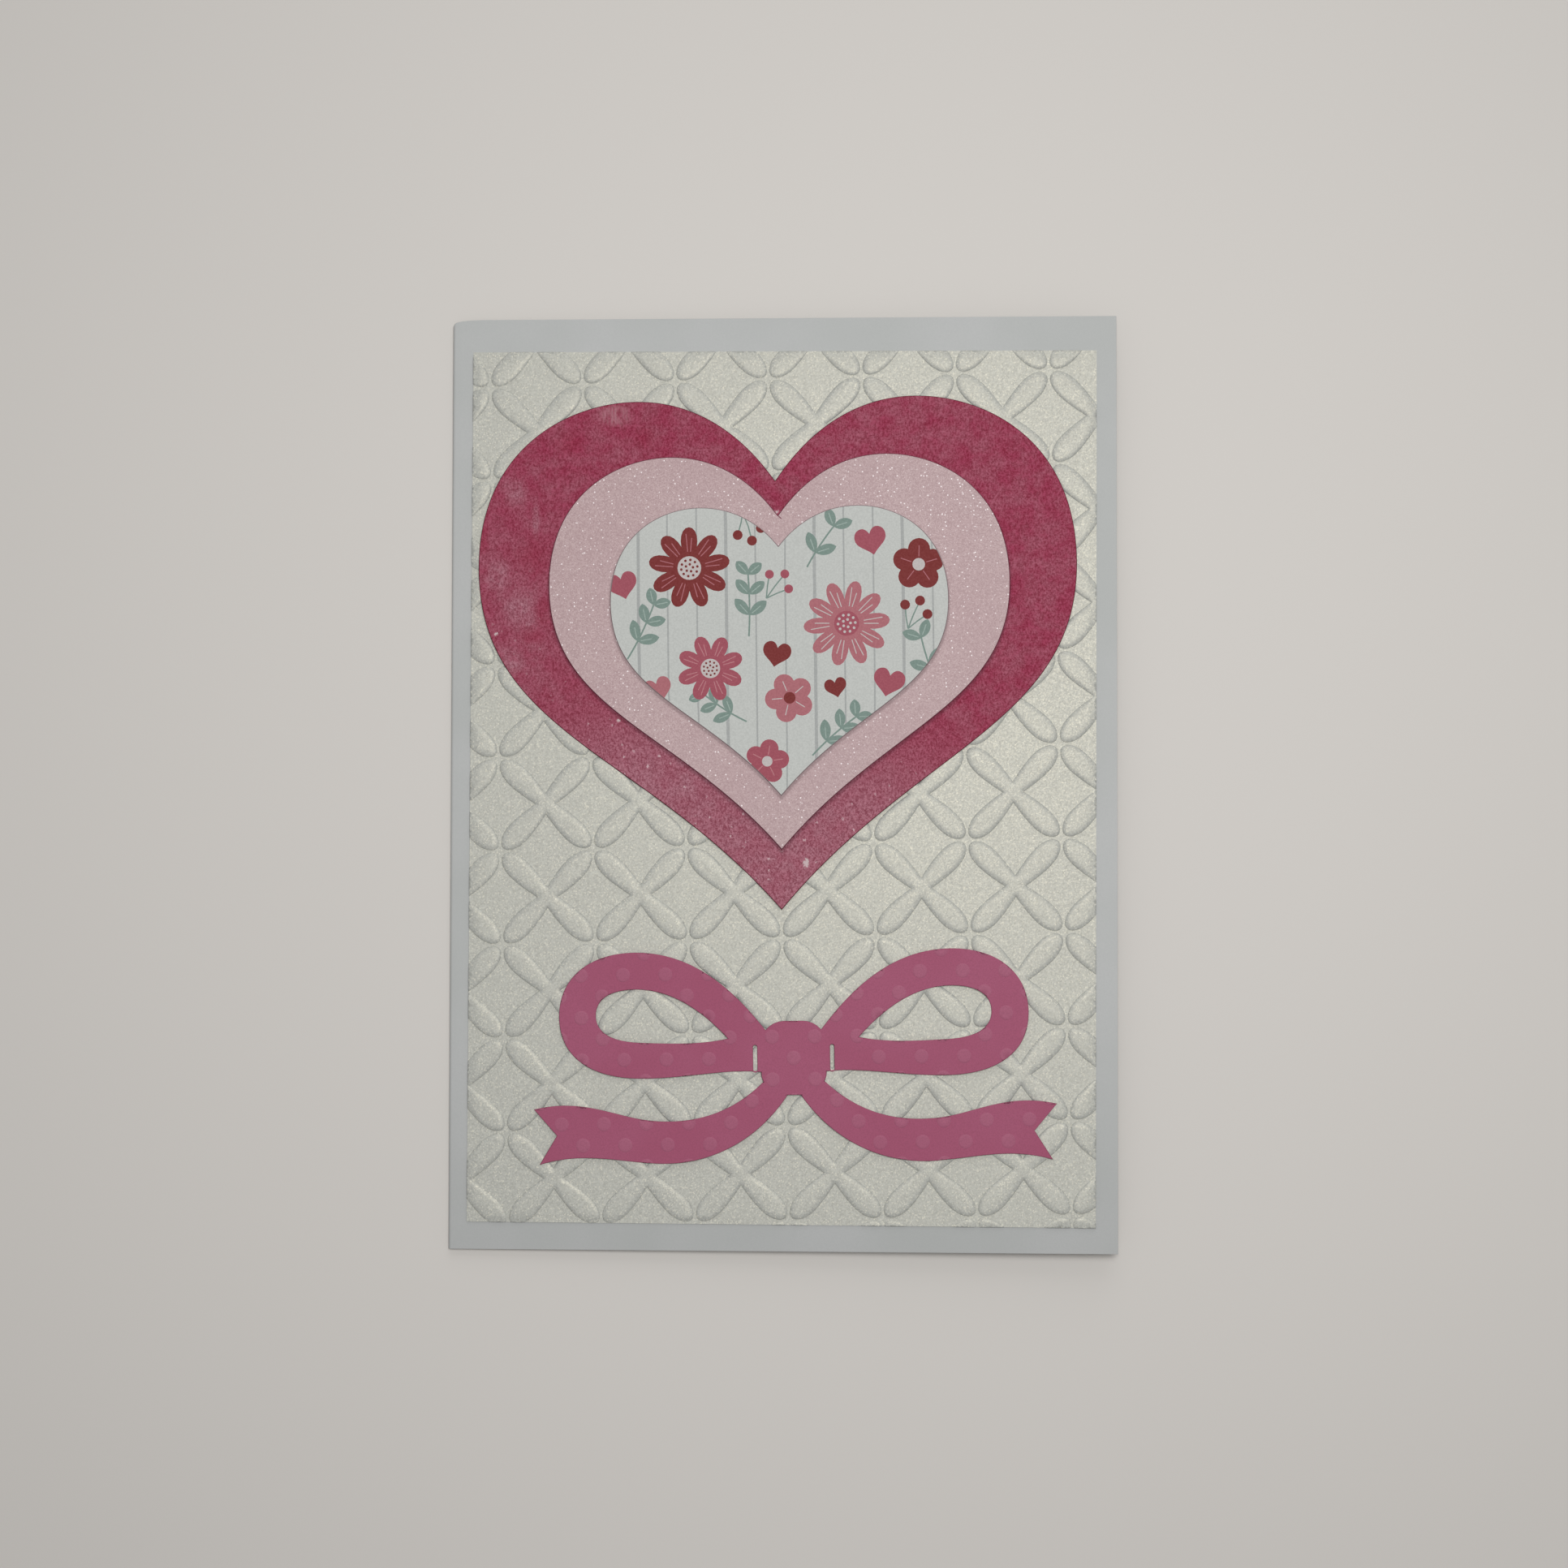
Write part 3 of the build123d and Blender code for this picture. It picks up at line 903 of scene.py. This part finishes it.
INKS = {
    "paper": srgb(187, 189, 185),
    "grey": srgb(161, 163, 161),
    "red": srgb(117, 42, 41),
    "rose": srgb(154, 77, 90),
    "pink": srgb(178, 118, 124),
    "dusty": srgb(166, 102, 109),
    "sage": srgb(119, 138, 130),
    "mist": srgb(152, 168, 160),
    "light": srgb(187, 179, 177),
}
PRINT_MOTTLE = 0.05
STRIPE_PITCH = 5.6
STRIPE_START = 1.2
STRIPE_WIDTHS = (0.32, 0.6, 0.32)
STRIPE_ENDS = (-2, 58)
STEM_WIDTH = 0.32
VEIN_WIDTH = 0.17


def leaf_shape(length, width):
    """An oval leaf from the origin along x, a little pointed."""
    upper = bezier((0, 0), (length * 0.3, width * 0.68), (length * 0.8, width * 0.62), (length, 0), 9)
    return np.concatenate((upper, [(length, 0)], upper[:0:-1] * (1, -1)))


def petal_shape(start, length, width):
    """A rounded petal along x, fuller towards its end."""
    a = np.arange(18) * 2 * pi / 18
    along = (1 - np.cos(a)) / 2
    return np.stack((start + length * along, width / 2 * np.sin(a) * (0.72 + 0.4 * along)), 1)


def line_shape(points, width):
    """A drawn line of the given width through the points."""
    points = np.asarray(points, float)
    along = np.gradient(points, axis=0)
    along /= np.linalg.norm(along, axis=1)[:, None]
    side = along[:, ::-1] * (-1, 1) * width / 2
    return np.concatenate((points + side, (points - side)[::-1]))


def daisy(centre, radius, turn, petals, ink, vein, eye, seed):
    """A plain daisy: petals with two veins each, and an eye with two rings of seeds."""
    shapes = []
    turns = [turn + 360 * i / petals for i in range(petals)]
    for angle in turns:
        petal = petal_shape(radius * 0.16, radius * 0.84, radius * 3.9 / petals)
        shapes.append((ink, placed(petal, centre, angle)))
    for angle in turns:
        for lean, reach in ((-5, 0.74), (5, 0.84)):
            line = line_shape([(radius * r, 0) for r in np.linspace(0.4, reach, 5)], VEIN_WIDTH)
            shapes.append((vein, placed(line, centre, angle + lean)))
    shapes.append((eye, circle(centre, radius * 0.29, 24)))
    for count, reach in ((5, 0.09), (10, 0.2)):
        for i in range(count):
            at = placed([(radius * reach, 0)], centre, turn + 360 * i / count)[0]
            shapes.append((seed, circle(at, radius * 0.033, 8)))
    return shapes


def blossom(centre, radius, turn, ink, vein, eye):
    """A small open flower of five round petals."""
    turns = [turn + 72 * i for i in range(5)]
    line = line_shape([(radius * r, 0) for r in np.linspace(0.3, 0.72, 4)], VEIN_WIDTH)
    petal = circle((radius * 0.58, 0), radius * 0.42, 20)
    shapes = [(ink, placed(petal, centre, angle)) for angle in turns]
    shapes += [(vein, placed(line, centre, angle)) for angle in turns]
    return shapes + [(eye, circle(centre, radius * 0.24, 16))]


def sprig(start, turn, length, bend, pairs, size=4.2):
    """A curved stem with pairs of veined leaves."""
    stem = bezier((0, 0), (length * 0.35, bend * 0.1), (length * 0.7, bend * 0.5), (length, bend), 14)
    shapes = [("sage", placed(line_shape(stem, STEM_WIDTH), start, turn))]
    for i in range(pairs):
        at = stem[round((0.3 + 0.6 * i / (pairs - 1)) * (len(stem) - 1))]
        leaf = leaf_shape(size * (1 - 0.1 * i), size * 0.5)
        vein = line_shape([(size * r, 0) for r in (0.15, 0.4, 0.65)], VEIN_WIDTH)
        for side in (1, -1):
            angle = 46 * side + 10 * bend / length
            shapes.append(("sage", placed(placed(leaf, at, angle), start, turn)))
            shapes.append(("mist", placed(placed(vein, at, angle), start, turn)))
    return shapes


def little_heart(centre, width, turn, ink):
    """A plain heart, drawn with the outline of the die-cut ones."""
    form = {"half_width": width / 2, "height": width * 0.88, "cleft": width * 0.2}
    ring = heart_outline(form, 8) - (0, width * 0.45)
    return ink, placed(ring, centre, turn)


def berries(centre, turn, ink, size=0.95):
    """Three berries on thin stalks."""
    shapes = []
    for angle, reach in ((-30, 4.6), (0, 5.8), (30, 4.6)):
        tip = placed([(reach, 0)], (0, 0), angle)[0]
        stalk = line_shape(((0, 0), tip * 0.5 + (0, 0.1), tip), STEM_WIDTH * 0.8)
        shapes.append(("sage", placed(stalk, centre, turn)))
        shapes.append((ink, placed(circle(tip, size, 14), centre, turn)))
    return shapes


def stripe(number):
    """One of the upright stripes."""
    x, half = number * STRIPE_PITCH + STRIPE_START, STRIPE_WIDTHS[number % 3] / 2
    left, right, (low, high) = x - half, x + half, STRIPE_ENDS
    return "grey", np.array(((left, low), (right, low), (right, high), (left, high)))


def print_motifs():
    """The print, in the inner heart's own coordinates with its tip at the origin."""
    return [
        *(stripe(number) for number in range(-6, 7)),
        *sprig((-29.0, 26.4), 54, 13.0, 2.4, 3),
        *sprig((-5.8, 30.4), 84, 13.5, 1.6, 3),
        *sprig((29.8, 20.8), 118, 10.5, -2.0, 2),
        *sprig((6.0, 7.6), 50, 12.5, -2.2, 3),
        *sprig((-6.4, 14.2), 158, 11.0, -2.4, 3, 3.8),
        *sprig((5.4, 43.4), 64, 10.5, -1.6, 2),
        *daisy((-17.0, 43.6), 7.8, 10, 9, "red", "dusty", "light", "red"),
        *daisy((12.8, 32.6), 8.2, 4, 10, "dusty", "light", "rose", "light"),
        *daisy((-13.2, 24.4), 6.4, 20, 8, "rose", "pink", "light", "red"),
        *blossom((26.6, 43.6), 5.0, 16, "red", "dusty", "light"),
        *blossom((1.8, 18.6), 4.7, 40, "dusty", "light", "red"),
        *blossom((-2.6, 6.6), 4.2, 8, "rose", "pink", "light"),
        little_heart((-0.6, 26.9), 5.4, -12, "red"),
        little_heart((-29.8, 40.4), 5.8, 14, "rose"),
        little_heart((17.6, 48.2), 6.0, 12, "rose"),
        little_heart((20.6, 21.2), 6.0, -14, "rose"),
        little_heart((-23.2, 20.4), 5.4, 18, "dusty"),
        little_heart((10.6, 20.4), 4.2, 12, "red"),
        *berries((-6.6, 54.2), -74, "red"),
        *berries((24.4, 31.4), 66, "red"),
        *berries((-2.4, 37.6), 52, "rose", 0.85),
    ]


def inner_heart():
    """The printed paper heart, split into fields of ink."""
    shapes = print_motifs()
    flat, faces = sheet(heart_outline(INNER_HEART), [ring for _, ring in shapes])
    middle = centres(flat, faces)
    names = list(INKS)
    paint = np.zeros(len(faces), int)
    for ink, ring in shapes:
        paint[inside(middle, ring)] = names.index(ink)
    flat = placed(flat, INNER_HEART["tip"], INNER_HEART["turn"])
    cut = die_cut(flat, faces, MIDDLE_TOP, INNER_HEART_PAPER, 0, paint, [len(names)] * 2)
    inks = [print_ink("print_" + name, colour) for name, colour in INKS.items()]
    add_piece("printed_heart", "patterned_paper", "inner_heart", inks + [cut_edge("shaded_cut_print")], *cut)


# Bow

def bow_loop():
    """The right loop's outer edge and its opening."""
    outer = np.concatenate((
        bezier((4.0, 3.6), (10.5, 12.5), (18.5, LOOP_TOP), (30.0, LOOP_TOP)),
        bezier((30.0, LOOP_TOP), (38.5, LOOP_TOP), (LOOP_REACH, 15.8), (LOOP_REACH, 8.2)),
        bezier((LOOP_REACH, 8.2), (LOOP_REACH, 0.2), (38.0, -3.6), (28.5, -3.6)),
        bezier((28.5, -3.6), (19.0, -3.6), (11.0, -1.4), (4.0, -3.0)),
        [(4.0, -3.0)],
    ))
    top, reach, bottom = LOOP_TOP - RIBBON, LOOP_REACH - RIBBON, RIBBON - 3.6
    opening = np.concatenate((
        bezier((12.4, 3.8), (17.8, 9.7), (23.5, top), (30.0, top)),
        bezier((30.0, top), (34.6, top), (reach, 11.6), (reach, 8.4)),
        bezier((reach, 8.4), (reach, 5.0), (34.2, bottom), (29.0, bottom - 0.2)),
        bezier((29.0, bottom - 0.2), (23.0, 2.9), (17.5, 2.7), (12.4, 3.8)),
    ))
    return outer, opening


def bow_tail():
    """The right tail, from the knot out to its notched end."""
    return np.concatenate((
        bezier((3.5, -2.0), (10.5, -10.2), (18.5, -12.4), (27.0, -11.6)),
        bezier((27.0, -11.6), (34.0, -10.9), (40.0, -7.0), (BOW_HALF_WIDTH, -9.2)),
        [(BOW_HALF_WIDTH, -9.2), (45.2, -14.2)],
        bezier((48.6, TAIL_DROP), (40.5, -17.2), (33.5, -19.3), (26.0, TAIL_DROP)),
        bezier((26.0, TAIL_DROP), (15.0, -20.2), (5.5, -14.5), (0, -5.0)),
        [(0, -5.0)],
    ))


def rounded_box(width, height, radius, centre=(0, 0)):
    """A closed ring round a rectangle with rounded corners."""
    ring = []
    for i, (sx, sy) in enumerate(QUARTERS):
        corner = (centre[0] + sx * (width / 2 - radius), centre[1] + sy * (height / 2 - radius))
        a = np.radians(np.linspace(90 * i, 90 * i + 90, 8))
        ring.append(np.stack((corner[0] + radius * np.cos(a), corner[1] + radius * np.sin(a)), 1))
    return np.concatenate(ring)


def bow_dots(slits):
    """The middles of the raised dots, in rows that are set off from each other, clear of the slits."""
    rows = range(-DOT_ROWS, DOT_ROWS + 1)
    dots = [np.array((i + 0.5 * k, j + 0.5 * k)) * DOT_PITCH for k in (0, 1) for i in rows for j in rows]
    clear = DOT_RADIUS + CUT_ROUNDING
    return [dot for dot in dots if all(distance_to_ring(dot[None], slit)[0] > clear for slit in slits)]


def bow():
    """The die-cut bow, with its raised dots."""
    loop, opening = bow_loop()
    tail = bow_tail()
    knot = rounded_box(KNOT_WIDTH, KNOT_HEIGHT, KNOT_CORNER)
    slit = rounded_box(KNOT_SLIT_WIDTH, KNOT_SLIT_LENGTH, KNOT_SLIT_WIDTH * 0.499, (KNOT_SLIT_AT, 0))
    loops, openings = [loop, mirrored(loop)], [opening, mirrored(opening)]
    band, slits = [tail, mirrored(tail), knot], [slit, mirrored(slit)]
    dots = bow_dots(slits)
    rings = [circle(dot, DOT_RADIUS * share, 20) for dot in dots for share, _ in DOT_SECTION]
    near = [r for r in rings if any(inside(r, shape).any() for shape in loops + band)]
    flat, faces = triangulate(loops + band + openings + slits + near)
    middle = centres(flat, faces)
    filled = np.zeros(len(faces), bool)
    for shapes, card in ((loops, True), (openings, False), (band, True), (slits, False)):
        for shape in shapes:
            filled[inside(middle, shape)] = card
    flat, faces = used_only(flat, faces[filled])
    to_dot = np.min([np.hypot(*(flat - dot).T) for dot in dots], axis=0) / DOT_RADIUS
    shares, rises = zip(*DOT_SECTION[::-1])
    lift = DOT_HEIGHT * np.interp(to_dot, shares, rises)
    dot_face = np.min([np.hypot(*(centres(flat, faces) - dot).T) for dot in dots], axis=0) < DOT_RADIUS
    flat = placed(flat, BOW_CENTRE, BOW_TURN)
    points, all_faces, smooth, paint = die_cut(flat, faces, PANEL_TOP, BOW_PAPER, lift, dot_face, (0, 2))
    smooth[:len(faces)] = dot_face.tolist()
    body = dotted_pink("pink_card", srgb(158, 78, 106), srgb(161, 83, 111))
    raised = dotted_pink("pink_dots", srgb(161, 87, 113), srgb(164, 92, 117))
    # The bow's cut edge: its pink card darkened with painted shade
    edge = dotted_pink("shaded_cut_pink", srgb(112, 56, 74), srgb(124, 66, 84))
    add_piece("ribbon_bow", "dotted_pink_card", "bow_diecut", [body, raised, edge],
              points, all_faces, smooth, paint)


# Stage

CAMERA_PLACE = (3.72, -10.03, 412.82)
CAMERA_TURN = (1.36, 0.475, 0.102)
CAMERA_ANGLE = 40.0
FLOOR_SIZE = 6000.0
WORLD_LIGHT = 0.31
KEY = {"place": (52, 62, 470), "size": 170, "power": 1.37}
WINDOW = {"place": (120, 1390, 760), "size": 1000, "power": 4.6}


def camera():
    """Nearly straight above the card, as in the photograph."""
    data = bpy.data.cameras.new("camera")
    data.angle = radians(CAMERA_ANGLE)
    data.clip_start = 0.01
    seat = new_object("camera", data)
    seat.location = Vector(CAMERA_PLACE) * MM
    seat.rotation_euler = [radians(a) for a in CAMERA_TURN]
    scene.camera = seat


def floor():
    """A plain pale floor that the card lies on."""
    half = FLOOR_SIZE / 2 * MM
    mesh = bpy.data.meshes.new("floor")
    mesh.from_pydata([(half * x, half * y, 0) for x, y in QUARTERS], [], [(0, 1, 2, 3)])
    s = Shader("floor", roughness=0.9, specular=0.1)
    s.colour(srgb(209, 205, 200))
    mesh.materials.append(s.material)
    ground = new_object("floor", mesh)


def soft_lamp(name, place, size, power):
    """A square softbox that faces the card."""
    data = bpy.data.lights.new(name, "AREA")
    data.size = size * MM
    data.energy = power
    lamp = new_object(name, data)
    lamp.visible_camera = False
    lamp.location = Vector(place) * MM
    lamp.rotation_euler = (-Vector(place)).to_track_quat("-Z", "Y").to_euler()


def world(strength):
    """Even fill light from all round."""
    surroundings = bpy.data.worlds.new("world")
    surroundings.use_nodes = True
    background = surroundings.node_tree.nodes["Background"]
    background.inputs["Color"].default_value = (1.0, 1.0, 1.0, 1.0)
    background.inputs["Strength"].default_value = strength
    scene.world = surroundings


folded_card()
embossed_panel()
outer_heart()
middle_heart()
inner_heart()
bow()
floor()
camera()
world(WORLD_LIGHT)
soft_lamp("key", **KEY)
soft_lamp("window", **WINDOW)
scene.view_settings.view_transform = "Standard"
